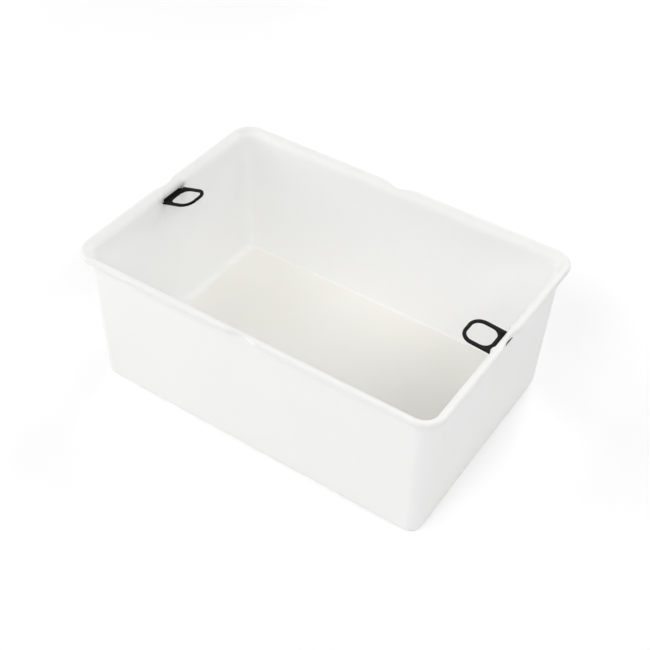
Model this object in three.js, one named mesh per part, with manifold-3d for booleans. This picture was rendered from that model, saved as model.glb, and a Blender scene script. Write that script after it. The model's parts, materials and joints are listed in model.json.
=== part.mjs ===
// Wash tub of a resin wash station: a moulded rectangular tub with a rolled rim, and a black
// finger loop snapped through a slot in each end wall.
// Millimetres, +Z up, +X along the tub's length. The origin is the middle of the flat underside.
import * as THREE from 'three';
import { mergeVertices } from 'three/addons/utils/BufferGeometryUtils.js';
import Module from 'manifold-3d';

const wasm = await Module();
wasm.setup();

// Driving dimensions: tub
const RIM_LENGTH = 450;
const RIM_WIDTH = 311;
const HEIGHT = 181;
const SHEET = 3.3; // thickness of walls and rim
const FLOOR = 3.5;
const OVERHANG = 8.95; // how far the rim stands out beyond the outer wall
const DRAFT = 0.031; // how far a wall leans in for each mm of depth
const RIM_CORNER = 25.4; // plan radius of the rim's corners
const CORNER_SHRINK = 0.87; // loss of plan corner radius for each mm further in
const ROLL = 9.6; // from the inner wall over to the top of the rim
const ROLL_HEIGHT = 12; // from the top of the rim down to where the walls start
const LIP_TOP_RADIUS = 2.6;
const LIP_BOTTOM_RADIUS = 1;
const LIP_DROP = 6.6; // height of the lip, from the top of the rim to its lower edge
const LIP_WIDTH = 1.8; // flat underside of the lip, before it steps up to the rolled sheet
const BASE_FILLET = 3.4; // outer edge of the underside
const SIDE_FLOOR_FILLET = 3; // inner floor edge along the long walls
const END_FLOOR_FILLET = 9; // inner floor edge along the end walls

// Driving dimensions: the notch in the middle of each side of the rim, and the end walls' channels
const NOTCH_HALF = 20;
const NOTCH_SHAPE = 1.5; // power of the cosine that shapes a notch in plan
const NOTCH_TOP_RADIUS = 1; // the lip's top rounding at the middle of a notch
const SIDE_NOTCH = 6.1;
const END_NOTCH = 4.4;
const HUMP = 2; // how far the rim's inner side stands in at both shoulders of an end notch
const HUMP_HALF = 5;
const HUMP_FOOT = 168;
const HUMP_FULL = 174;
const HUMP_FADE = 175;
const CHANNEL_HALF = 20;
const CHANNEL_EDGE = 3; // half the width over which the channel's side fades out
const CHANNEL_DEPTH = 0.9; // taken off both faces of the wall
const CHANNEL_TOP = 162;
const CHANNEL_FULL = 148;
const CHANNEL_FOOT = 88;

// Driving dimensions: loops
const LOOP_THICKNESS = 2;
const LOOP_HALF_WIDTH = 19.35;
const LOOP_REACH = 41.2; // from the pivot to the far end of the loop
const LOOP_CORNER = 14.8;
const LOOP_SIDE_BAND = 4.8;
const LOOP_END_BAND = 4.1;
const HOLE_START = 8.4; // from the pivot to the near side of the finger hole
const HOLE_CORNER = 9.8;
const SHOULDER = 2.5; // from the pivot to the shoulders that stop against the inner wall
const TONGUE_HALF_WIDTH = 15.9;
const BEAD_HEIGHT = 6; // more than the slot's height, so that the loop cannot pull out
const BEAD_DEPTH = 2.4;
const BEAD_OFFSET = 3.25; // from the pivot out to the bead's axis
const BEAD_RAISE = 0.9; // from the pivot up to the bead's axis
const PIVOT_HEIGHT = 166;
const LEFT_TILT = 16; // degrees above level, as the loop stands at rest
const RIGHT_TILT = 5;

// Driving dimensions: slots
const SLOT_HEIGHT = 5.3;
const SLOT_RAISE = 1.15; // from the pivot up to the slot's middle
const SLOT_HALF_WIDTH = 16.4;
const SLOT_TILT = 10;
const SLOT_LENGTH = 16; // cutter length, well past both faces of the wall

// Facets
const CORNER_STEPS = 5;
const FILLET_STEPS = 3;
const LIP_BOTTOM_STEPS = 2;
const ROLL_STEPS = 5;
const ROLL_START = 0.98; // share of the roll's angle where its facets start, so that none is too short
const FLOOR_FILLET_STEPS = 4;
const LOOP_CORNER_STEPS = 8;
const BEAD_SIDES = 20;
const SIDE_STATIONS = [-20, -15, -10, -5, 0, 5, 10, 15, 20];
const END_STATIONS = [-26, -23, -20, -17, -14, -9, -4.5, 0, 4.5, 9, 14, 17, 20, 23, 26];
const WALL_LEVELS = [88, 104, 120, 136, 150, 162];

const ROLL_CENTRE = HEIGHT - ROLL_HEIGHT;
const ROLL_INSET = OVERHANG + SHEET - ROLL;
const UNDERSIDE_ANGLE = 75; // how far the roll's underside turns before the lip
const PIVOT_X = RIM_LENGTH / 2 - OVERHANG - SHEET / 2 - DRAFT * (ROLL_CENTRE - PIVOT_HEIGHT);

const radians = THREE.MathUtils.degToRad;
const degrees = THREE.MathUtils.radToDeg;
const smooth = THREE.MathUtils.smoothstep;

// Solids and booleans

function toSolid(geometry) {
  geometry.deleteAttribute('normal');
  geometry.deleteAttribute('uv');
  const merged = mergeVertices(geometry);
  return new wasm.Manifold(new wasm.Mesh({
    numProp: 3,
    vertProperties: new Float32Array(merged.attributes.position.array),
    triVerts: new Uint32Array(merged.index.array),
  }));
}

function toGeometry(solid) {
  const mesh = solid.getMesh();
  const geometry = new THREE.BufferGeometry();
  geometry.setAttribute('position', new THREE.BufferAttribute(mesh.vertProperties, 3));
  geometry.setIndex(new THREE.BufferAttribute(mesh.triVerts, 1));
  geometry.computeVertexNormals();
  return geometry;
}

// Tub: one closed section, given as distance in from the rim's edge and height, carried round
// the rounded rectangle of the plan.

function arc(inset, height, radius, from, to, steps, stretch = 1) {
  const points = [];
  for (let i = 0; i <= steps; i += 1) {
    const angle = radians(from + ((to - from) * i) / steps);
    const z = height + stretch * radius * Math.sin(angle);
    points.push({ inset: inset + radius * Math.cos(angle), z });
  }
  return points;
}

const outerWall = (z) => OVERHANG + DRAFT * (ROLL_CENTRE - z);
const innerWall = (z) => outerWall(z) + SHEET;

// The rim from its underside at the outer wall, round the lip and over the roll to the inner wall.
// The roll is a circle's quarter, stretched in height. A notch cuts the rim back by `cut`: the lip
// narrows, and its top comes down along the roll.
function rimSection(cut, rounding) {
  const stretch = ROLL_HEIGHT / ROLL;
  const underStretch = (ROLL_HEIGHT - SHEET) / (ROLL - SHEET);
  const lipEdge = HEIGHT - LIP_DROP;
  const underside = [
    ...arc(ROLL_INSET, ROLL_CENTRE, ROLL - SHEET, 0, UNDERSIDE_ANGLE, FILLET_STEPS, underStretch),
    { inset: LIP_BOTTOM_RADIUS + LIP_WIDTH, z: lipEdge },
    ...arc(LIP_BOTTOM_RADIUS, lipEdge + LIP_BOTTOM_RADIUS, LIP_BOTTOM_RADIUS, 270, 180, LIP_BOTTOM_STEPS),
  ];
  const meet = degrees(Math.acos(Math.max(0, (cut + rounding - ROLL_INSET) / (ROLL - rounding))));
  const roundingCentre = ROLL_CENTRE + stretch * (ROLL - rounding) * Math.sin(radians(meet));
  return [
    ...underside.map(({ inset, z }) => ({ inset: inset + cut * (1 - inset / OVERHANG), z })),
    ...arc(cut + rounding, roundingCentre, rounding, 180, meet, FILLET_STEPS, stretch),
    ...arc(ROLL_INSET, ROLL_CENTRE, ROLL, meet * ROLL_START, 0, ROLL_STEPS, stretch),
  ];
}

// The inner floor edge has a wide fillet on the end walls and a tight one on the long walls.
function floorFillet(endShare) {
  const radius = SIDE_FLOOR_FILLET + (END_FLOOR_FILLET - SIDE_FLOOR_FILLET) * endShare;
  const height = FLOOR + radius;
  return arc(innerWall(height) + radius, height, -radius, 0, 90, FLOOR_FILLET_STEPS);
}

function stationSection(station) {
  const share = station.corner === undefined ? notchShare(station.along) : 0;
  const cut = share * (station.end ? END_NOTCH : SIDE_NOTCH);
  const rounding = LIP_TOP_RADIUS + (NOTCH_TOP_RADIUS - LIP_TOP_RADIUS) * share;
  const endShare = Math.cos(radians(station.direction)) ** 2;
  return [
    ...arc(outerWall(BASE_FILLET) + BASE_FILLET, BASE_FILLET, BASE_FILLET, 270, 180, FILLET_STEPS),
    ...WALL_LEVELS.map((z) => ({ inset: outerWall(z), z })),
    ...rimSection(cut, rounding),
    ...WALL_LEVELS.toReversed().map((z) => ({ inset: innerWall(z), z })),
    ...floorFillet(endShare),
  ];
}

// Shares from 0 to 1 of the notch and the channel at a distance from the middle of a side.
function notchShare(along) {
  if (Math.abs(along) >= NOTCH_HALF) {
    return 0;
  }
  return Math.cos((Math.PI / 2) * (along / NOTCH_HALF)) ** NOTCH_SHAPE;
}

function channelShare(along, z) {
  const across = 1 - smooth(Math.abs(along), CHANNEL_HALF - CHANNEL_EDGE, CHANNEL_HALF + CHANNEL_EDGE);
  const down = smooth(z, CHANNEL_FOOT, CHANNEL_FULL) * (1 - smooth(z, CHANNEL_FULL, CHANNEL_TOP));
  return across * down;
}

// The rolled rim stands in a little at both shoulders of an end notch.
function hump(along, z) {
  const offset = (Math.abs(along) - NOTCH_HALF) / HUMP_HALF;
  const across = Math.abs(offset) < 1 ? Math.cos((Math.PI / 2) * offset) ** 2 : 0;
  return HUMP * across * smooth(z, HUMP_FOOT, HUMP_FULL) * (1 - smooth(z, HUMP_FADE, HEIGHT));
}

// One station is a place round the plan: a corner's direction, or a distance along a side.
function planStations() {
  const stations = [];
  const sides = [
    { direction: 0, marks: END_STATIONS, end: true },
    { direction: 90, marks: SIDE_STATIONS, end: false },
    { direction: 180, marks: END_STATIONS, end: true },
    { direction: 270, marks: SIDE_STATIONS, end: false },
  ];
  for (const side of sides) {
    for (const along of side.marks) {
      stations.push({ direction: side.direction, along, end: side.end });
    }
    for (let i = 0; i <= CORNER_STEPS; i += 1) {
      stations.push({ direction: side.direction + (90 * i) / CORNER_STEPS, corner: side.direction + 45 });
    }
  }
  return stations;
}

function placeOnSide(station, inset, z) {
  const outerFace = inset < OVERHANG + SHEET;
  const thinned = station.end ? CHANNEL_DEPTH * channelShare(station.along, z) : 0;
  const shoulder = station.end && inset > OVERHANG ? hump(station.along, z) : 0;
  const half = (station.end ? RIM_LENGTH : RIM_WIDTH) / 2;
  const reach = half - inset + (outerFace ? -thinned : thinned) - shoulder;
  const spin = radians(station.direction);
  return [
    reach * Math.cos(spin) - station.along * Math.sin(spin),
    reach * Math.sin(spin) + station.along * Math.cos(spin),
    z,
  ];
}

function placeOnCorner(station, inset, z) {
  const radius = RIM_CORNER - CORNER_SHRINK * inset;
  const signX = Math.sign(Math.cos(radians(station.corner)));
  const signY = Math.sign(Math.sin(radians(station.corner)));
  const centreX = signX * (RIM_LENGTH / 2 - inset - radius);
  const centreY = signY * (RIM_WIDTH / 2 - inset - radius);
  const spin = radians(station.direction);
  return [centreX + radius * Math.cos(spin), centreY + radius * Math.sin(spin), z];
}

function tubShell() {
  const stations = planStations();
  const columns = stations.map((station) => {
    const place = station.corner === undefined ? placeOnSide : placeOnCorner;
    return stationSection(station).map((point) => place(station, point.inset, point.z));
  });
  const rows = columns[0].length;
  const positions = columns.flat(2);
  const bottomCentre = positions.length / 3;
  positions.push(0, 0, 0, 0, 0, FLOOR);
  const floorCentre = bottomCentre + 1;
  const triangles = [];
  for (let s = 0; s < columns.length; s += 1) {
    const here = s * rows;
    const next = ((s + 1) % columns.length) * rows;
    for (let r = 0; r < rows - 1; r += 1) {
      triangles.push(here + r, next + r, next + r + 1, here + r, next + r + 1, here + r + 1);
    }
    triangles.push(bottomCentre, next, here);
    triangles.push(floorCentre, here + rows - 1, next + rows - 1);
  }
  const geometry = new THREE.BufferGeometry();
  geometry.setAttribute('position', new THREE.Float32BufferAttribute(positions, 3));
  geometry.setIndex(triangles);
  return toSolid(geometry);
}

function slotCutter(side) {
  const cutter = new THREE.BoxGeometry(SLOT_LENGTH, 2 * SLOT_HALF_WIDTH, SLOT_HEIGHT);
  cutter.rotateY(side * radians(SLOT_TILT));
  cutter.translate(side * PIVOT_X, 0, PIVOT_HEIGHT + SLOT_RAISE);
  return toSolid(cutter);
}

function tubGeometry() {
  return toGeometry(tubShell().subtract(slotCutter(1)).subtract(slotCutter(-1)));
}

// Loop, drawn level with its pivot at the origin and the finger hole towards +X.

function loopOutline() {
  const shape = new THREE.Shape();
  const cornerX = LOOP_REACH - LOOP_CORNER;
  const cornerY = LOOP_HALF_WIDTH - LOOP_CORNER;
  shape.moveTo(-BEAD_OFFSET, -TONGUE_HALF_WIDTH);
  shape.lineTo(SHOULDER, -TONGUE_HALF_WIDTH);
  shape.lineTo(SHOULDER, -LOOP_HALF_WIDTH);
  shape.absarc(cornerX, -cornerY, LOOP_CORNER, -Math.PI / 2, 0);
  shape.absarc(cornerX, cornerY, LOOP_CORNER, 0, Math.PI / 2);
  shape.lineTo(SHOULDER, LOOP_HALF_WIDTH);
  shape.lineTo(SHOULDER, TONGUE_HALF_WIDTH);
  shape.lineTo(-BEAD_OFFSET, TONGUE_HALF_WIDTH);
  shape.closePath();
  shape.holes.push(fingerHole());
  return shape;
}

function fingerHole() {
  const hole = new THREE.Path();
  const nearX = HOLE_START + HOLE_CORNER;
  const farX = LOOP_REACH - LOOP_END_BAND - HOLE_CORNER;
  const cornerY = LOOP_HALF_WIDTH - LOOP_SIDE_BAND - HOLE_CORNER;
  hole.absarc(farX, -cornerY, HOLE_CORNER, -Math.PI / 2, 0);
  hole.absarc(farX, cornerY, HOLE_CORNER, 0, Math.PI / 2);
  hole.absarc(nearX, cornerY, HOLE_CORNER, Math.PI / 2, Math.PI);
  hole.absarc(nearX, -cornerY, HOLE_CORNER, Math.PI, 1.5 * Math.PI);
  hole.closePath();
  return hole;
}

function loopGeometry() {
  const plate = new THREE.ExtrudeGeometry(loopOutline(), {
    depth: LOOP_THICKNESS,
    bevelEnabled: false,
    curveSegments: LOOP_CORNER_STEPS,
  });
  plate.translate(0, 0, -LOOP_THICKNESS / 2);
  const bead = new THREE.CylinderGeometry(0.5, 0.5, 2 * TONGUE_HALF_WIDTH, BEAD_SIDES);
  bead.scale(BEAD_DEPTH, 1, BEAD_HEIGHT);
  bead.translate(-BEAD_OFFSET, 0, BEAD_RAISE);
  return toGeometry(toSolid(plate).add(toSolid(bead)));
}

// Assembly

const tubPlastic = new THREE.MeshStandardMaterial({ color: 0xeeede9, roughness: 0.45, metalness: 0 });
const leftLoopPlastic = new THREE.MeshStandardMaterial({ color: 0x161616, roughness: 0.55, metalness: 0 });
const rightLoopPlastic = leftLoopPlastic.clone();

function part(name, geometry, material) {
  const mesh = new THREE.Mesh(geometry, material);
  mesh.name = name;
  return mesh;
}

const tub = part('tub', tubGeometry(), tubPlastic);

const leftLoop = part('left_loop', loopGeometry(), leftLoopPlastic);
leftLoop.position.set(-PIVOT_X, 0, PIVOT_HEIGHT);
leftLoop.rotation.y = -radians(LEFT_TILT);

const rightLoop = part('right_loop', loopGeometry(), rightLoopPlastic);
rightLoop.position.set(PIVOT_X, 0, PIVOT_HEIGHT);
rightLoop.rotation.set(0, -radians(RIGHT_TILT), Math.PI, 'ZYX');

const group = new THREE.Group();
group.add(tub, leftLoop, rightLoop);

export default group;
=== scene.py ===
"""Looks of a resin wash station's tub: a satin off-white moulding with two black finger loops.

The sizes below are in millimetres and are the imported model's own. They are turned into metres where
the meshes are made. Left is -X, the front is -Y.
"""
import json
import math

import bmesh
import bpy
from mathutils import Matrix, Vector


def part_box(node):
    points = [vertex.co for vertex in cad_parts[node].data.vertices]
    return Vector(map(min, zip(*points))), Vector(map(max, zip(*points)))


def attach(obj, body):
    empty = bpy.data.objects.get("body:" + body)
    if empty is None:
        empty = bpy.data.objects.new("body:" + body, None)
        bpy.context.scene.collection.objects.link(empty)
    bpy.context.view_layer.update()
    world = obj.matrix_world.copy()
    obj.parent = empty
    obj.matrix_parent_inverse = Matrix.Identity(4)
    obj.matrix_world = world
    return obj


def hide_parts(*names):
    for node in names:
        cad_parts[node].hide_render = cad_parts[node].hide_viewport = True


MM = 0.001

# Tub
SHEET = 3.3  # thickness of the walls and the rim
FLOOR = 3.5  # thickness of the floor
OVERHANG = 8.95  # from the rim's edge in to the outer wall, at the height of the roll's centre
DRAFT = 0.031  # how far the walls lean in for each millimetre down
RIM_CORNER = 25.4
CORNER_SHRINK = 0.87  # how much tighter a corner gets for each millimetre in from the rim's edge
ROLL = 9.6  # from the inner wall over to the top of the rim
ROLL_HEIGHT = 12.0
LIP_TOP_RADIUS = 2.6
LIP_BOTTOM_RADIUS = 1.0
LIP_DROP = 6.6
LIP_WIDTH = 1.8
BASE_FILLET = 3.4
SIDE_FLOOR_FILLET = 3.0
END_FLOOR_FILLET = 9.0
UNDERSIDE_ANGLE = 75  # angle at which the rim's hollow underside leaves the roll for the lip
ROLL_START = 0.98  # share of the angle at which the lip's rounding ends, where the roll begins
ROLL_FOOT = 9  # angle of the roll's lowest row, just above the slots
GUARD = 1.5  # distance of the row or station that keeps a flat wall flat next to a round

# Notches, channels and slots
NOTCH_HALF = 20.0
NOTCH_SHAPE = 1.5
NOTCH_TOP_RADIUS = 1.0
SIDE_NOTCH = 6.1
END_NOTCH = 4.4
HUMP = 2.0  # how far the rim's inner side stands in at both shoulders of an end notch
HUMP_HALF = 5.0
HUMP_FOOT = 168.0
HUMP_FULL = 174.0
HUMP_FADE = 175.0
CHANNEL_HALF = 20.0
CHANNEL_EDGE = 3.0
CHANNEL_DEPTH = 0.9  # taken off both faces of the wall
CHANNEL_TOP = 162.0
CHANNEL_FULL = 148.0
CHANNEL_FOOT = 88.0
SLOT_HEIGHT = 5.3
SLOT_RAISE = 1.15  # from the pivot up to the slot's middle
SLOT_HALF_WIDTH = 16.4
SLOT_TILT = 10.0
SLOT_EDGE = 0.35  # rounding of the slot's edges

# Wear and painted shade, each pair from where it starts to change to where it stops
STAIN_DEPTH = 2.5  # height over which the floor's tint from used liquid fades out
RUB_LIP_DROPS = (LIP_DROP + 1.0, 3.0)  # below the rim's top: the rim's rub grows to full
RUB_LIP_INSETS = (6.0, 12.0)  # in from the rim's edge: the rim's rub fades out
RUB_BASE_HEIGHTS = (0.5, 5.0)  # above the bench: the base edge's rub fades out
PAINTED_SHADE_REACH = 9.0  # how far the painted shade round a loop's foot spreads over the rim
PAINTED_SHADE_BELOW = 2.0  # how many times faster it fades below the slot's upper edge
PAINTED_SHADE_SKIN = 0.85  # share of the roll's radius that parts its inner side from its hollow underside

# Loops
LOOP_THICKNESS = 2.0
LOOP_HALF_WIDTH = 19.35
LOOP_REACH = 41.2
LOOP_CORNER = 14.8
LOOP_SIDE_BAND = 4.8
LOOP_END_BAND = 4.1
LOOP_EDGE = 0.55  # rounding of the plate's edges
HOLE_START = 8.4
HOLE_CORNER = 9.8
SHOULDER = 2.5
TONGUE_HALF_WIDTH = 15.9
BEAD_HEIGHT = 6.0
BEAD_DEPTH = 2.4
BEAD_OFFSET = 3.25
BEAD_RAISE = 0.9
BEAD_END = 0.6  # rounding of the bead's ends

# Detail of the meshes: how many faces run along each round, and where rows and stations lie close
BASE_STEPS = 8
UNDERSIDE_STEPS = 8
LIP_BOTTOM_STEPS = 5
LIP_TOP_STEPS = 8
ROLL_STEPS = 16
FLOOR_FILLET_STEPS = 10
CORNER_STEPS = 16
SLOT_EDGE_STEPS = 3
PLAIN_LEVELS = [30.0, 60.0]  # heights of the rows below the channel
CHANNEL_LEAD = 4.0  # the close rows start this far below the channel
CHANNEL_TAIL = 1.0  # and stop this far short of its top
LOWER_CHANNEL_STEPS = 16
UPPER_CHANNEL_STEPS = 5
CLOSE_HALF = CHANNEL_HALF + HUMP_HALF + 1.0  # the close stations reach this far from a side's middle
CLOSE_STEPS = 36
FAR_STEPS = 6
STATION_GAP = 0.7  # a station closer than this to a slot's end is left out
LOOP_CORNER_STEPS = 24
LOOP_EDGE_STEPS = 3
BEAD_STEPS = 32
BEAD_END_STEPS = 4
SAME = 1e-6  # two lengths closer than this are the same
WELD = 0.01  # vertices closer than this become one

# Colours of the plastics
OFF_WHITE = (0.930, 0.931, 0.925)
LIGHT_OFF_WHITE = (0.940, 0.940, 0.935)
STAIN = (0.926, 0.913, 0.862)
RUBBED = (0.882, 0.880, 0.866)
# painted shade: the grey that darkens the tub round the loops' feet
PAINTED_SHADE_GREY = (0.63, 0.62, 0.60)
SPECK = (0.83, 0.82, 0.79)
BLACK = (0.003, 0.003, 0.003)
WORN_BLACK = (0.007, 0.007, 0.007)

# Camera, in degrees, metres and millimetres of lens
AZIMUTH = 32.71
ELEVATION = 43.02
ROLL_ANGLE = 1.89
DISTANCE = 1.3104
TARGET = (0.0, 0.0029, 0.0746)
LENS = 63.76
SENSOR = 36.0

# Studio, in metres
GROUND_SIZE = 8.0
GROUND_GAP = 0.0002  # keeps the ground and the tub's underside out of one plane
LIGHT_DISTANCE = 2.2
LIGHT_SIZE = 1.0

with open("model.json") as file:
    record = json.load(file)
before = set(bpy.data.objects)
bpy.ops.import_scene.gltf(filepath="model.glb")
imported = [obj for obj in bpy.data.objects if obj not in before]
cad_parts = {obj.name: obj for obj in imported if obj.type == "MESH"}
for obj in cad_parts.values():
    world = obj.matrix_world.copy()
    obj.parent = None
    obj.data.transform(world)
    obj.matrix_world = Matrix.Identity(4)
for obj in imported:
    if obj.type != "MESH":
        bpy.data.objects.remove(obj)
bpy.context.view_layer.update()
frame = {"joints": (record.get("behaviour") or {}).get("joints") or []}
joints = {joint["name"]: joint for joint in frame["joints"]}
tub_low, tub_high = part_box("tub")
RIM_LENGTH = (tub_high.x - tub_low.x) / MM
RIM_WIDTH = (tub_high.y - tub_low.y) / MM
HEIGHT = (tub_high.z - tub_low.z) / MM
PIVOT_HEIGHT = joints["left_loop_tilt"]["pos_m"][2] / MM
ROLL_CENTRE = HEIGHT - ROLL_HEIGHT
ROLL_INSET = OVERHANG + SHEET - ROLL


def smooth(value, low, high):
    """0 at low, 1 at high, with a soft start and end."""
    share = min(1.0, max(0.0, (value - low) / (high - low)))
    return share * share * (3 - 2 * share)


def steps(low, high, count):
    """count + 1 evenly spaced values from low to high."""
    return [low + (high - low) * i / count for i in range(count + 1)]


def add_object(name, data):
    obj = bpy.data.objects.new(name, data)
    bpy.context.scene.collection.objects.link(obj)
    return obj


def finish_mesh(bm, name):
    mesh = bpy.data.meshes.new(name)
    bm.to_mesh(mesh)
    bm.free()
    return mesh


def turn_out_and_smooth(bm):
    bmesh.ops.recalc_face_normals(bm, faces=bm.faces)
    for face in bm.faces:
        face.smooth = True


# Tub: one closed section, as distance in from the rim's edge and height, carried round the plan.


def arc(inset, height, radius, start, end, count, stretch=1.0):
    """Points of a round, or of an oval where stretch isn't 1, between two angles in degrees."""
    return [
        (inset + radius * math.cos(math.radians(angle)),
         height + stretch * radius * math.sin(math.radians(angle)))
        for angle in steps(start, end, count)
    ]


def outer_wall(z):
    return OVERHANG + DRAFT * (ROLL_CENTRE - z)


def inner_wall(z):
    return outer_wall(z) + SHEET


def slot_levels(side):
    """Heights of the slot's two edges on the outer (-1) or inner (+1) face of the end wall."""
    centre = PIVOT_HEIGHT + SLOT_RAISE + side * SHEET / 2 * math.tan(math.radians(SLOT_TILT))
    half = SLOT_HEIGHT / 2 / math.cos(math.radians(SLOT_TILT))
    return centre - half, centre + half


def wall_levels(side):
    """Heights of a wall's rows, from above the base up to the slot's two edges."""
    lower = steps(CHANNEL_FOOT - CHANNEL_LEAD, CHANNEL_FULL, LOWER_CHANNEL_STEPS)
    upper = steps(CHANNEL_FULL, CHANNEL_TOP - CHANNEL_TAIL, UPPER_CHANNEL_STEPS)[1:]
    return PLAIN_LEVELS + lower + upper + list(slot_levels(side))


def rim_section(cut, rounding):
    """The rim from its underside at the outer wall, round the lip and over to the inner wall."""
    stretch = ROLL_HEIGHT / ROLL
    under_stretch = (ROLL_HEIGHT - SHEET) / (ROLL - SHEET)
    lip_edge = HEIGHT - LIP_DROP
    lip_centre = lip_edge + LIP_BOTTOM_RADIUS
    underside = (
        arc(ROLL_INSET, ROLL_CENTRE, ROLL - SHEET, ROLL_FOOT, UNDERSIDE_ANGLE, UNDERSIDE_STEPS,
            under_stretch)
        + [(LIP_BOTTOM_RADIUS + LIP_WIDTH, lip_edge)]
        + arc(LIP_BOTTOM_RADIUS, lip_centre, LIP_BOTTOM_RADIUS, 270, 180, LIP_BOTTOM_STEPS)
    )
    meet = math.acos(max(0.0, (cut + rounding - ROLL_INSET) / (ROLL - rounding)))
    centre = ROLL_CENTRE + stretch * (ROLL - rounding) * math.sin(meet)
    end = math.degrees(meet)
    return (
        [(inset + cut * (1 - inset / OVERHANG), z) for inset, z in underside]
        + arc(cut + rounding, centre, rounding, 180, end, LIP_TOP_STEPS, stretch)
        + arc(ROLL_INSET, ROLL_CENTRE, ROLL, ROLL_START * end, ROLL_FOOT, ROLL_STEPS, stretch)
    )


def floor_fillet(end_share):
    """The inside's lower corner, which is rounder at the two ends than along the sides."""
    radius = SIDE_FLOOR_FILLET + (END_FLOOR_FILLET - SIDE_FLOOR_FILLET) * end_share
    height = FLOOR + radius
    inset = inner_wall(height) + radius
    return (
        [(inner_wall(height + GUARD), height + GUARD)]
        + arc(inset, height, -radius, 0, 90, FLOOR_FILLET_STEPS)
        + [(inset + GUARD, FLOOR)]
    )


def notch_share(along):
    """How deep the notch is at a distance from the side's middle, as a share of its full depth."""
    if abs(along) >= NOTCH_HALF:
        return 0.0
    return math.cos(math.pi / 2 * along / NOTCH_HALF) ** NOTCH_SHAPE


def station_section(station):
    """The whole closed section at a station, from the underside out, up, over and down inside."""
    share = notch_share(station.get("along", NOTCH_HALF))
    cut = share * (END_NOTCH if station.get("end") else SIDE_NOTCH)
    rounding = LIP_TOP_RADIUS + (NOTCH_TOP_RADIUS - LIP_TOP_RADIUS) * share
    base = outer_wall(BASE_FILLET) + BASE_FILLET
    return (
        [(base + GUARD, 0.0)]
        + arc(base, BASE_FILLET, BASE_FILLET, 270, 180, BASE_STEPS)
        + [(outer_wall(BASE_FILLET + GUARD), BASE_FILLET + GUARD)]
        + [(outer_wall(z), z) for z in wall_levels(-1)]
        + rim_section(cut, rounding)
        + [(inner_wall(z), z) for z in reversed(wall_levels(1))]
        + floor_fillet(math.cos(math.radians(station["direction"])) ** 2)
    )


def channel_share(along, z):
    across = 1 - smooth(abs(along), CHANNEL_HALF - CHANNEL_EDGE, CHANNEL_HALF + CHANNEL_EDGE)
    down = smooth(z, CHANNEL_FOOT, CHANNEL_FULL) * (1 - smooth(z, CHANNEL_FULL, CHANNEL_TOP))
    return across * down


def hump(along, z):
    """The rolled rim stands in a little at both shoulders of an end notch."""
    offset = min(1.0, abs(abs(along) - NOTCH_HALF) / HUMP_HALF)
    across = math.cos(math.pi / 2 * offset) ** 2
    return HUMP * across * smooth(z, HUMP_FOOT, HUMP_FULL) * (1 - smooth(z, HUMP_FADE, HEIGHT))


def side_marks(half_length, slotted):
    """Distances along a side: close together at the notch and channel, wide apart elsewhere."""
    middle = steps(-CLOSE_HALF, CLOSE_HALF, CLOSE_STEPS)
    if slotted:
        clear = [mark for mark in middle if abs(abs(mark) - SLOT_HALF_WIDTH) > STATION_GAP]
        middle = sorted(clear + [-SLOT_HALF_WIDTH, SLOT_HALF_WIDTH])
    far = half_length - RIM_CORNER - 3 * GUARD
    outer = steps(CLOSE_HALF, far, FAR_STEPS)[1:-1]
    return [-mark for mark in reversed(outer)] + middle + outer


def corner_radius(inset):
    return RIM_CORNER - CORNER_SHRINK * inset


def plan_stations():
    """Places round the plan, anticlockwise from the right end: along a side, or round a corner."""
    stations = []
    for quarter in range(4):
        direction = 90 * quarter
        end = quarter % 2 == 0
        half_length = (RIM_WIDTH if end else RIM_LENGTH) / 2
        side = {"direction": direction, "end": end}
        stations.append({**side, "guard": -1})
        stations += [{**side, "along": along} for along in side_marks(half_length, end)]
        stations.append({**side, "guard": 1})
        for turn in steps(0, 90, CORNER_STEPS):
            stations.append({"direction": direction + turn, "corner": direction + 45})
    return stations


def place_in_corner(station, inset, z):
    spin = math.radians(station["direction"])
    corner = math.radians(station["corner"])
    radius = corner_radius(inset)
    middle_x = math.copysign(RIM_LENGTH / 2 - inset - radius, math.cos(corner))
    middle_y = math.copysign(RIM_WIDTH / 2 - inset - radius, math.sin(corner))
    return Vector((middle_x + radius * math.cos(spin), middle_y + radius * math.sin(spin), z)) * MM


def place_on_side(station, inset, z):
    spin = math.radians(station["direction"])
    half, half_length = RIM_WIDTH / 2, RIM_LENGTH / 2
    if station["end"]:
        half, half_length = half_length, half
    if "guard" in station:
        along = station["guard"] * (half_length - inset - corner_radius(inset) - GUARD)
    else:
        along = station["along"]
    thinned = CHANNEL_DEPTH * channel_share(along, z) if station["end"] else 0.0
    shoulder = hump(along, z) if station["end"] and inset > OVERHANG else 0.0
    outer_face = inset < OVERHANG + SHEET
    reach = half - inset + (-thinned if outer_face else thinned) - shoulder
    x = reach * math.cos(spin) - along * math.sin(spin)
    y = reach * math.sin(spin) + along * math.cos(spin)
    return Vector((x, y, z)) * MM


def place(station, inset, z):
    """Where a point of the section lies in the frame, in metres."""
    if "corner" in station:
        return place_in_corner(station, inset, z)
    return place_on_side(station, inset, z)


def stain_share(inset, z):
    """How far the used liquid has tinted the plastic: only the floor inside the tub."""
    inside = inset > inner_wall(z) - SHEET / 2 and z >= FLOOR
    return 1 - smooth(z, FLOOR, FLOOR + STAIN_DEPTH) if inside else 0.0


def rub_share(inset, z):
    """How far hands and the bench have rubbed the plastic: the rim, and the base's outer edge."""
    start, full = (HEIGHT - drop for drop in RUB_LIP_DROPS)
    lip = smooth(z, start, full) * (1 - smooth(inset, *RUB_LIP_INSETS))
    base = 1 - smooth(z, *RUB_BASE_HEIGHTS) if inset < inner_wall(z) - SHEET / 2 else 0.0
    return max(lip, base)


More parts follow.
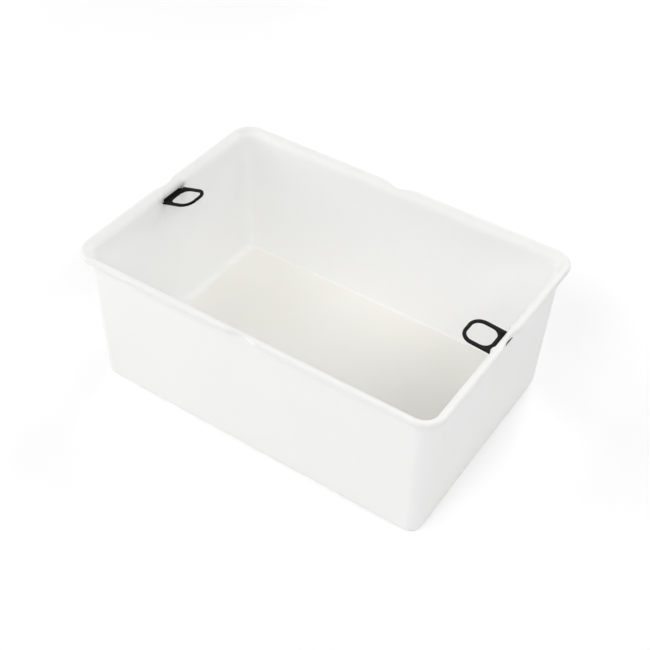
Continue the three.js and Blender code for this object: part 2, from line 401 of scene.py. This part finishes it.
def painted_shade_share(station, inset, z):
    """How much painted shade darkens the end wall and rim inside round a loop's foot, most at the
    slot's upper edge.
    """
    if "along" not in station or not station["end"]:
        return 0.0
    across_roll = (inset - ROLL_INSET) / ROLL
    up_roll = max(0.0, z - ROLL_CENTRE) / ROLL_HEIGHT
    if math.hypot(across_roll, up_roll) < PAINTED_SHADE_SKIN:
        return 0.0
    beside = max(0.0, abs(station["along"]) - LOOP_HALF_WIDTH)
    above = z - slot_levels(1)[1]
    away = above if above > 0 else PAINTED_SHADE_BELOW * above
    return 1 - smooth(math.hypot(beside, away), 0, PAINTED_SHADE_REACH)


def add_columns(bm, stations, sections):
    """One column of vertices per station, each with its shares of stain, rub and painted shade."""
    stain = bm.verts.layers.float.new("stain")
    rub = bm.verts.layers.float.new("rub")
    painted_shade = bm.verts.layers.float.new("painted_shade")
    columns = []
    for station, section in zip(stations, sections):
        column = [bm.verts.new(place(station, inset, z)) for inset, z in section]
        for vert, (inset, z) in zip(column, section):
            vert[stain] = stain_share(inset, z)
            vert[rub] = rub_share(inset, z)
            vert[painted_shade] = painted_shade_share(station, inset, z)
        columns.append(column)
    return columns


def slot_rows(section, side):
    """Index of the section's rows at the slot's lower and upper edge, on the outer or inner face."""
    wall = outer_wall if side < 0 else inner_wall
    return [
        next(i for i, (inset, z) in enumerate(section)
             if abs(z - level) < SAME and abs(inset - wall(z)) < SAME)
        for level in slot_levels(side)
    ]


def at_slot(station):
    """Whether a station stands on a slot, its two ends included."""
    return bool(station.get("end")) and abs(station.get("along", RIM_LENGTH)) < SLOT_HALF_WIDTH + SAME


def at_slot_end(station):
    return at_slot(station) and abs(station["along"]) > SLOT_HALF_WIDTH - SAME


def join_columns(bm, here, following, left_open):
    """Faces between two neighbouring columns, but for the rows that the slot leaves open."""
    for row in range(len(here) - 1):
        if row not in left_open:
            bm.faces.new((here[row], following[row], following[row + 1], here[row + 1]))


def join_through_slot(bm, here, following, outer, inner):
    """Floor and roof of the slot between two columns. Returns the edges to be rounded."""
    (out_low, out_high), (in_low, in_high) = outer, inner
    bm.faces.new((here[out_low], following[out_low], following[in_low], here[in_low]))
    bm.faces.new((following[out_high], here[out_high], here[in_high], following[in_high]))
    return [(here[row], following[row]) for row in (out_low, out_high, in_low, in_high)]


def close_slot_end(bm, column, facing_back, outer, inner):
    """The slot's flat end. Returns its two upright edges, to be rounded."""
    (out_low, out_high), (in_low, in_high) = outer, inner
    corners = (column[out_low], column[out_high], column[in_high], column[in_low])
    bm.faces.new(corners if facing_back else corners[::-1])
    return [(column[out_low], column[out_high]), (column[in_low], column[in_high])]


def join_walls(bm, stations, columns, outer, inner):
    """Every face between the columns, with the two slots through the end walls."""
    slot_edges = []
    for c, station in enumerate(stations):
        after = (c + 1) % len(stations)
        here, following = columns[c], columns[after]
        through = at_slot(station) and at_slot(stations[after])
        join_columns(bm, here, following, (outer[0], inner[1]) if through else ())
        if through:
            slot_edges += join_through_slot(bm, here, following, outer, inner)
    for station, column in zip(stations, columns):
        if at_slot_end(station):
            slot_edges += close_slot_end(bm, column, station["along"] > 0, outer, inner)
    return slot_edges


def tub_mesh():
    stations = plan_stations()
    sections = [station_section(station) for station in stations]
    outer = slot_rows(sections[0], -1)
    inner = slot_rows(sections[0], 1)
    bm = bmesh.new()
    columns = add_columns(bm, stations, sections)
    slot_edges = join_walls(bm, stations, columns, outer, inner)
    bm.faces.new([column[0] for column in reversed(columns)])  # the flat underside
    bm.faces.new([column[-1] for column in columns])  # the flat floor inside
    bm.normal_update()
    bmesh.ops.bevel(bm, geom=[bm.edges.get(pair) for pair in slot_edges], offset=SLOT_EDGE * MM,
                    segments=SLOT_EDGE_STEPS, profile=0.5, affect="EDGES")
    turn_out_and_smooth(bm)
    return finish_mesh(bm, "tub_shell")


# Loops, drawn level with the pivot at the origin and the finger hole towards +X


def corner_arc(x, y, radius, start, end):
    return arc(x, y, radius, start, end, LOOP_CORNER_STEPS)


def loop_outline():
    x = LOOP_REACH - LOOP_CORNER
    y = LOOP_HALF_WIDTH - LOOP_CORNER
    return (
        [(-BEAD_OFFSET, -TONGUE_HALF_WIDTH), (SHOULDER, -TONGUE_HALF_WIDTH),
         (SHOULDER, -LOOP_HALF_WIDTH)]
        + corner_arc(x, -y, LOOP_CORNER, -90, 0)
        + corner_arc(x, y, LOOP_CORNER, 0, 90)
        + [(SHOULDER, LOOP_HALF_WIDTH), (SHOULDER, TONGUE_HALF_WIDTH),
           (-BEAD_OFFSET, TONGUE_HALF_WIDTH)]
    )


def finger_hole():
    near = HOLE_START + HOLE_CORNER
    far = LOOP_REACH - LOOP_END_BAND - HOLE_CORNER
    y = LOOP_HALF_WIDTH - LOOP_SIDE_BAND - HOLE_CORNER
    return (
        corner_arc(far, -y, HOLE_CORNER, -90, 0)
        + corner_arc(far, y, HOLE_CORNER, 0, 90)
        + corner_arc(near, y, HOLE_CORNER, 90, 180)
        + corner_arc(near, -y, HOLE_CORNER, 180, 270)
    )


def plate_mesh(name):
    """The flat loop with rounded edges, from its outline and its hole."""
    curve = bpy.data.curves.new(name, "CURVE")
    curve.dimensions = "2D"
    curve.fill_mode = "BOTH"
    curve.extrude = (LOOP_THICKNESS / 2 - LOOP_EDGE) * MM
    curve.bevel_depth = LOOP_EDGE * MM
    curve.bevel_resolution = LOOP_EDGE_STEPS
    curve.offset = -LOOP_EDGE * MM
    for points in (loop_outline(), finger_hole()[::-1]):
        spline = curve.splines.new("POLY")
        spline.points.add(len(points) - 1)
        for point, (x, y) in zip(spline.points, points):
            point.co = (x * MM, y * MM, 0, 1)
        spline.use_cyclic_u = True
    obj = add_object(name, curve)
    mesh = bpy.data.meshes.new_from_object(obj)
    bpy.data.objects.remove(obj)
    return mesh


def bead_mesh(name):
    """The oval bead along the tongue's outer edge, with rounded ends."""
    radius = BEAD_HEIGHT / 2
    half = TONGUE_HALF_WIDTH
    section = [(0.0, -half)] + arc(radius - BEAD_END, BEAD_END - half, BEAD_END, -90, 0, BEAD_END_STEPS)
    section += [(reach, -y) for reach, y in reversed(section)]
    bm = bmesh.new()
    verts = [bm.verts.new((reach * MM, y * MM, 0)) for reach, y in section]
    edges = [bm.edges.new(pair) for pair in zip(verts, verts[1:])]
    bmesh.ops.spin(bm, geom=verts + edges, cent=(0, 0, 0), axis=(0, 1, 0),
                   angle=2 * math.pi, steps=BEAD_STEPS)
    bmesh.ops.remove_doubles(bm, verts=bm.verts, dist=WELD * MM)
    bmesh.ops.recalc_face_normals(bm, faces=bm.faces)
    bmesh.ops.scale(bm, verts=bm.verts, vec=(BEAD_DEPTH / BEAD_HEIGHT, 1, 1))
    bmesh.ops.translate(bm, verts=bm.verts, vec=(-BEAD_OFFSET * MM, 0, BEAD_RAISE * MM))
    return finish_mesh(bm, name)


def clean(mesh):
    """Weld vertices that lie together, turn the faces out and shade them smoothly."""
    bm = bmesh.new()
    bm.from_mesh(mesh)
    bmesh.ops.remove_doubles(bm, verts=bm.verts, dist=WELD * MM)
    turn_out_and_smooth(bm)
    bm.to_mesh(mesh)
    bm.free()


def apply_modifiers(obj):
    depsgraph = bpy.context.evaluated_depsgraph_get()
    mesh = bpy.data.meshes.new_from_object(obj.evaluated_get(depsgraph))
    obj.modifiers.clear()
    obj.data = mesh


def level_loop(name):
    """Plate and bead as one closed mesh, with flat faces that stay flat beside the rounded edges."""
    plate = plate_mesh(name + "_plate")
    clean(plate)
    obj = add_object(name, plate)
    bead = add_object(name + "_bead", bead_mesh(name + "_bead"))
    union = obj.modifiers.new("union", "BOOLEAN")
    union.operation = "UNION"
    union.solver = "EXACT"
    union.object = bead
    apply_modifiers(obj)
    bpy.data.objects.remove(bead)
    clean(obj.data)
    weighted = obj.modifiers.new("normals", "WEIGHTED_NORMAL")
    weighted.keep_sharp = True
    apply_modifiers(obj)
    return obj


def make_loop(name, joint, turn):
    """One loop at its pivot, tilted up by what its joint can go down, and turned to face inwards."""
    obj = level_loop(name)
    tilt = -math.radians(joint["range_deg"][0])
    obj.data.transform(
        Matrix.Translation(Vector(joint["pos_m"]))
        @ Matrix.Rotation(turn, 4, "Z")
        @ Matrix.Rotation(-tilt, 4, "Y")
    )
    return obj


# Materials, with noise scales in waves to the metre and bump distances in metres


class Nodes:
    """A short way to add and join a material's nodes."""

    def __init__(self, name):
        self.material = bpy.data.materials.new(name)
        self.material.use_nodes = True
        self.tree = self.material.node_tree
        self.shader = self.tree.nodes["Principled BSDF"]
        self.position = self.add("ShaderNodeTexCoord").outputs["Object"]

    def add(self, kind, **values):
        node = self.tree.nodes.new(kind)
        for key, value in values.items():
            setattr(node, key, value)
        return node

    def link(self, source, target):
        self.tree.links.new(source, target)

    def set(self, socket, value):
        self.shader.inputs[socket].default_value = value

    def drive(self, socket, source):
        self.link(source, self.shader.inputs[socket])

    def noise(self, scale, detail=2.0, roughness=0.5, vector=None):
        node = self.add("ShaderNodeTexNoise")
        node.inputs["Scale"].default_value = scale
        node.inputs["Detail"].default_value = detail
        node.inputs["Roughness"].default_value = roughness
        self.link(vector or self.position, node.inputs["Vector"])
        return node.outputs["Fac"]

    def stretch(self, scale):
        node = self.add("ShaderNodeMapping")
        node.inputs["Scale"].default_value = scale
        self.link(self.position, node.inputs["Vector"])
        return node.outputs["Vector"]

    def remap(self, value, from_low, from_high, to_low, to_high):
        node = self.add("ShaderNodeMapRange")
        for socket, number in zip(("From Min", "From Max", "To Min", "To Max"),
                                  (from_low, from_high, to_low, to_high)):
            node.inputs[socket].default_value = number
        self.link(value, node.inputs["Value"])
        return node.outputs["Result"]

    def attribute(self, name):
        return self.add("ShaderNodeAttribute", attribute_name=name).outputs["Fac"]

    def math(self, operation, first, second):
        node = self.add("ShaderNodeMath", operation=operation)
        self.link(first, node.inputs[0])
        self.link(second, node.inputs[1])
        return node.outputs["Value"]

    def mix(self, share, first, second):
        node = self.add("ShaderNodeMix", data_type="RGBA")
        self.link(share, node.inputs["Factor"])
        for socket, value in ((node.inputs[6], first), (node.inputs[7], second)):
            if isinstance(value, tuple):
                socket.default_value = (*value, 1)
            else:
                self.link(value, socket)
        return node.outputs[2]

    def bump(self, height, distance, strength=1.0, under=None):
        node = self.add("ShaderNodeBump")
        node.inputs["Strength"].default_value = strength
        node.inputs["Distance"].default_value = distance
        self.link(height, node.inputs["Height"])
        if under:
            self.link(under, node.inputs["Normal"])
        return node.outputs["Normal"]


def tub_plastic():
    """Off-white polypropylene: faint clouds, a fine moulded grain, soft scuffs, a rubbed rim and
    base edge, painted grey shade round the loops' feet, and a faint warm tint on the floor."""
    paint = Nodes("tub_plastic")
    clouds = paint.remap(paint.noise(7.0, 3.0), 0.35, 0.65, 0, 1)
    specks = paint.remap(paint.noise(700.0, 2.0), 0.72, 0.8, 0, 0.5)
    colour = paint.mix(clouds, OFF_WHITE, LIGHT_OFF_WHITE)
    tide = paint.remap(paint.noise(9.0, 3.0), 0.3, 0.7, 0.75, 1)
    stained = paint.math("MULTIPLY", paint.attribute("stain"), tide)
    colour = paint.mix(stained, colour, STAIN)
    # this noise breaks up both the real rub wear and the painted shade round the loops
    wear_and_shade_breakup = paint.remap(paint.noise(45.0, 5.0, 0.7), 0.4, 0.7, 0.6, 1)
    rubbed = paint.math("MULTIPLY", paint.attribute("rub"), wear_and_shade_breakup)
    colour = paint.mix(rubbed, colour, RUBBED)
    # painted shade: grey round the loops' feet on the inner end walls and rim
    painted_shade_amount = paint.math("MULTIPLY", paint.attribute("painted_shade"), wear_and_shade_breakup)
    colour = paint.mix(painted_shade_amount, colour, PAINTED_SHADE_GREY)
    colour = paint.mix(specks, colour, SPECK)
    paint.drive("Base Color", colour)
    scuffs = paint.remap(paint.noise(1.0, 4.0, 0.6, paint.stretch((40, 40, 4))), 0.6, 0.75, 0, 0.12)
    satin = paint.remap(paint.noise(60.0, 3.0), 0.3, 0.7, 0.46, 0.56)
    rough = paint.math("ADD", satin, scuffs)
    rough = paint.math("ADD", rough, paint.remap(rubbed, 0, 1, 0, 0.1))
    paint.drive("Roughness", rough)
    waves = paint.bump(paint.noise(22.0, 1.0), 0.0002)
    grain = paint.bump(paint.noise(2200.0, 2.0), 0.00004, under=waves)
    paint.drive("Normal", grain)
    paint.set("Specular IOR Level", 0.3)
    return paint.material


def loop_plastic(name):
    """Black nylon: near-black with a fine grain, and a touch greyer where it has been handled."""
    paint = Nodes(name)
    wear = paint.remap(paint.noise(90.0, 4.0, 0.6), 0.55, 0.75, 0, 1)
    paint.drive("Base Color", paint.mix(wear, BLACK, WORN_BLACK))
    paint.drive("Roughness", paint.remap(paint.noise(250.0, 3.0), 0.3, 0.7, 0.42, 0.58))
    paint.drive("Normal", paint.bump(paint.noise(3000.0, 2.0), 0.00003))
    paint.set("Specular IOR Level", 0.12)
    return paint.material


def ground_paint():
    """Matte white, with a faint glow that keeps it white where the tub shades it."""
    paint = Nodes("studio_floor")
    tone = paint.remap(paint.noise(3.0, 2.0), 0.3, 0.7, 0, 1)
    paint.drive("Base Color", paint.mix(tone, (0.93, 0.93, 0.93), (0.95, 0.95, 0.95)))
    paint.set("Roughness", 0.9)
    paint.set("Specular IOR Level", 0.1)
    paint.set("Emission Color", (1, 1, 1, 1))
    paint.set("Emission Strength", 0.075)
    return paint.material


# Object


def build_tub():
    tub = add_object("tub_shell", tub_mesh())
    tub.data.materials.append(tub_plastic())
    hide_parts("tub")
    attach(tub, "tub")


def build_loop(name, turn):
    loop = make_loop(name + "_moulding", joints[name + "_tilt"], turn)
    loop.data.materials.clear()
    loop.data.materials.append(loop_plastic(name + "_plastic"))
    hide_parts(name)
    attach(loop, name)


# Studio


def make_ground():
    bm = bmesh.new()
    bmesh.ops.create_grid(bm, x_segments=8, y_segments=8, size=GROUND_SIZE / 2)
    floor = add_object("studio_floor", finish_mesh(bm, "studio_floor"))
    floor.location.z = -GROUND_GAP
    floor.data.materials.append(ground_paint())


def make_light(name, azimuth, elevation, watts):
    """A round soft light that looks at the tub. Azimuth 0 is in front, 90 is on the right."""
    light = bpy.data.lights.new(name, "AREA")
    light.shape = "DISK"
    light.size = LIGHT_SIZE
    light.energy = watts
    obj = add_object(name, light)
    turn = math.radians(azimuth)
    rise = math.radians(elevation)
    away = Vector((math.sin(turn) * math.cos(rise), -math.cos(turn) * math.cos(rise), math.sin(rise)))
    obj.location = Vector((0, 0, HEIGHT / 2 * MM)) + LIGHT_DISTANCE * away
    obj.rotation_euler = (-away).to_track_quat("-Z", "Y").to_euler()


def make_world():
    world = bpy.data.worlds.new("studio")
    world.use_nodes = True
    background = world.node_tree.nodes["Background"]
    background.inputs["Color"].default_value = (1, 1, 1, 1)
    background.inputs["Strength"].default_value = 0.1
    bpy.context.scene.world = world


def make_studio():
    make_ground()
    make_world()
    make_light("front", 0, 45, 12.2)
    make_light("front_right", 45, 45, 7.0)
    make_light("right", 90, 45, 10.8)
    make_light("back_right", 135, 45, 5.8)
    make_light("back", 180, 45, 7.1)
    make_light("front_left", 315, 45, 6.6)
    make_light("low_front_left", 315, 20, 6.6)
    make_light("low_left", 270, 20, 14.3)
    make_light("low_back", 180, 20, 13.1)


def make_camera():
    camera = bpy.data.cameras.new("camera")
    camera.sensor_width = SENSOR
    camera.lens = LENS
    obj = add_object("camera", camera)
    turn = (
        Matrix.Rotation(math.radians(AZIMUTH), 4, "Z")
        @ Matrix.Rotation(math.radians(90 - ELEVATION), 4, "X")
        @ Matrix.Rotation(math.radians(ROLL_ANGLE), 4, "Z")
    )
    back = turn.to_3x3() @ Vector((0, 0, 1))
    obj.matrix_world = Matrix.Translation(Vector(TARGET) + DISTANCE * back) @ turn
    bpy.context.scene.camera = obj


build_tub()
build_loop("left_loop", 0.0)
build_loop("right_loop", math.pi)
make_studio()
make_camera()
bpy.context.scene.view_settings.view_transform = "Standard"
